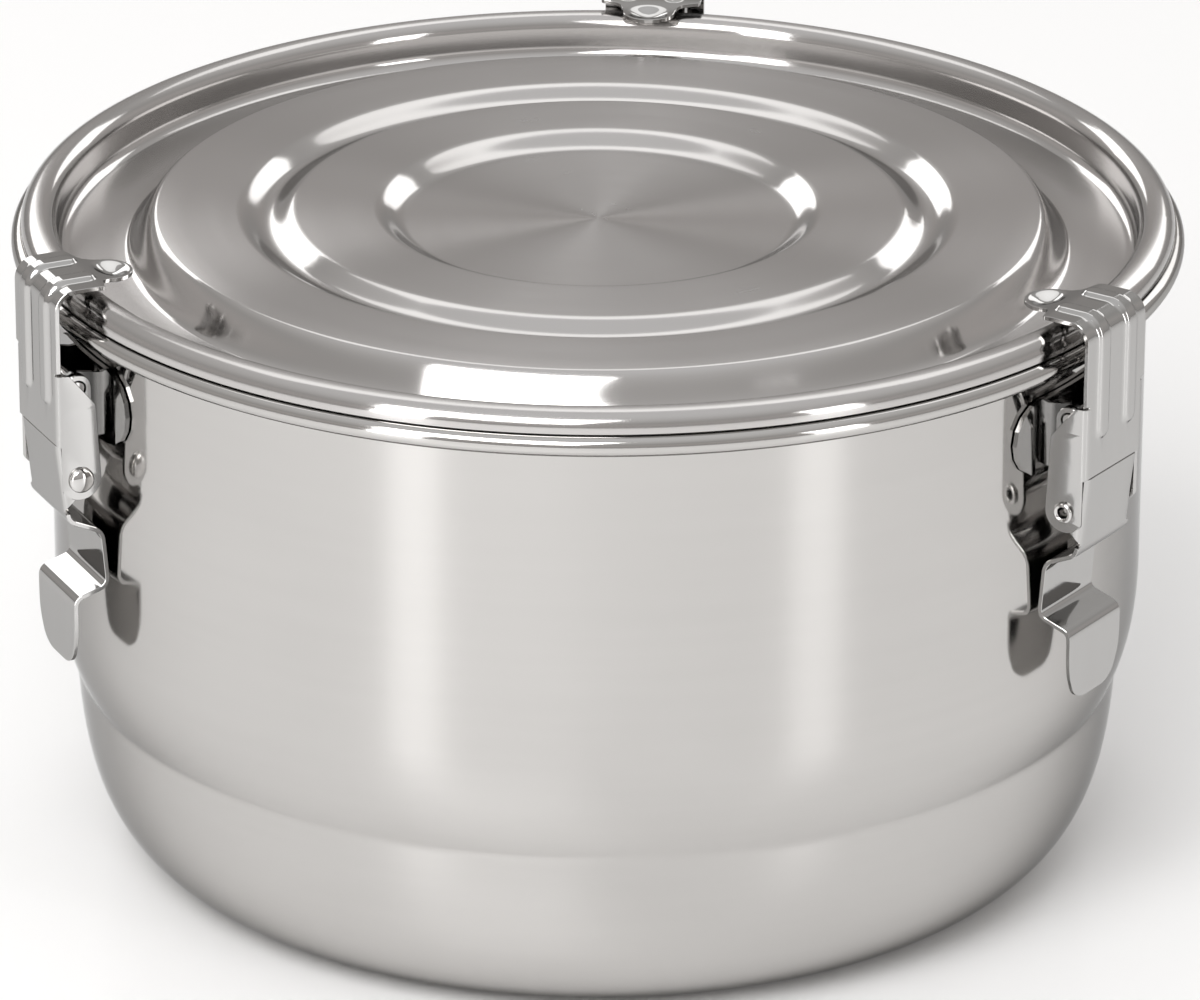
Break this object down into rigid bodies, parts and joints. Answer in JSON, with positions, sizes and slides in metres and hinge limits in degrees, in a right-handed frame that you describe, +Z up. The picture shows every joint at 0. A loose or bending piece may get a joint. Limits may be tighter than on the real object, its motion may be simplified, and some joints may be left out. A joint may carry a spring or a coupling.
{
  "type": "food canister",
  "caption": "Round stainless-steel food canister with a stepped-in base, a pressed lid on a silicone ring, and over-centre latches that hook over the lid's rim.",
  "frame": {"origin": "centre of the flat underside of the pot, on the pot's axis", "axes": "+Z up along the pot's axis, +Y towards the rear latch"},
  "size_m": [0.235, 0.2398, 0.1391],
  "materials": {
    "satin_steel": "satin polished, fine brushed grain round the wall",
    "polished_steel": "polished pressed sheet with circular spin marks",
    "latch_steel": "bright polished pressings",
    "silicone": "translucent white silicone"
  },
  "bodies": {
    "canister": {"canister_body": "satin_steel", "right_bracket": "latch_steel", "right_pivot_pin": "latch_steel", "rear_bracket": "latch_steel", "rear_pivot_pin": "latch_steel", "left_bracket": "latch_steel", "left_pivot_pin": "latch_steel"},
    "lid": {"lid_shell": "polished_steel", "lid_gasket": "silicone"},
    "lever_right": {"right_lever": "latch_steel"},
    "draw_hook_right": {"right_hook": "latch_steel", "right_rivet": "latch_steel"},
    "lever_rear": {"rear_lever": "latch_steel"},
    "draw_hook_rear": {"rear_hook": "latch_steel", "rear_rivet": "latch_steel"},
    "lever_left": {"left_lever": "latch_steel"},
    "draw_hook_left": {"left_hook": "latch_steel", "left_rivet": "latch_steel"}
  },
  "joints": [
    {"name": "lid_lift", "type": "slide", "parent": "canister", "child": "lid", "axis": [0, 0, 1], "range_m": [0, 0.01]},
    {"name": "right_lever_turn", "type": "hinge", "parent": "canister", "child": "lever_right", "pos_m": [0.10098, -0.0583, 0.1172], "axis": [-0.5, -0.866, 0], "range_deg": [0, 58.2]},
    {"name": "right_hook_turn", "type": "hinge", "parent": "lever_right", "child": "draw_hook_right", "pos_m": [0.10115, -0.0584, 0.0986], "axis": [0.5, 0.866, 0], "range_deg": [0, 116.4]},
    {"name": "rear_lever_turn", "type": "hinge", "parent": "canister", "child": "lever_rear", "pos_m": [0.00265, 0.11657, 0.1172], "axis": [0.9997, -0.0227, 0], "range_deg": [0, 58.2]},
    {"name": "rear_hook_turn", "type": "hinge", "parent": "lever_rear", "child": "draw_hook_rear", "pos_m": [0.00265, 0.11677, 0.0986], "axis": [-0.9997, 0.0227, 0], "range_deg": [0, 116.4]},
    {"name": "left_lever_turn", "type": "hinge", "parent": "canister", "child": "lever_left", "pos_m": [-0.10098, -0.0583, 0.1172], "axis": [-0.5, 0.866, 0], "range_deg": [0, 58.2]},
    {"name": "left_hook_turn", "type": "hinge", "parent": "lever_left", "child": "draw_hook_left", "pos_m": [-0.10115, -0.0584, 0.0986], "axis": [0.5, -0.866, 0], "range_deg": [0, 116.4]}
  ],
  "couplings": [
    {"joint": "right_lever_turn", "follows": "lid_lift", "rad_per_m": 101.23},
    {"joint": "right_hook_turn", "follows": "lid_lift", "rad_per_m": 202.46},
    {"joint": "rear_lever_turn", "follows": "lid_lift", "rad_per_m": 101.23},
    {"joint": "rear_hook_turn", "follows": "lid_lift", "rad_per_m": 202.46},
    {"joint": "left_lever_turn", "follows": "lid_lift", "rad_per_m": 101.23},
    {"joint": "left_hook_turn", "follows": "lid_lift", "rad_per_m": 202.46}
  ]
}
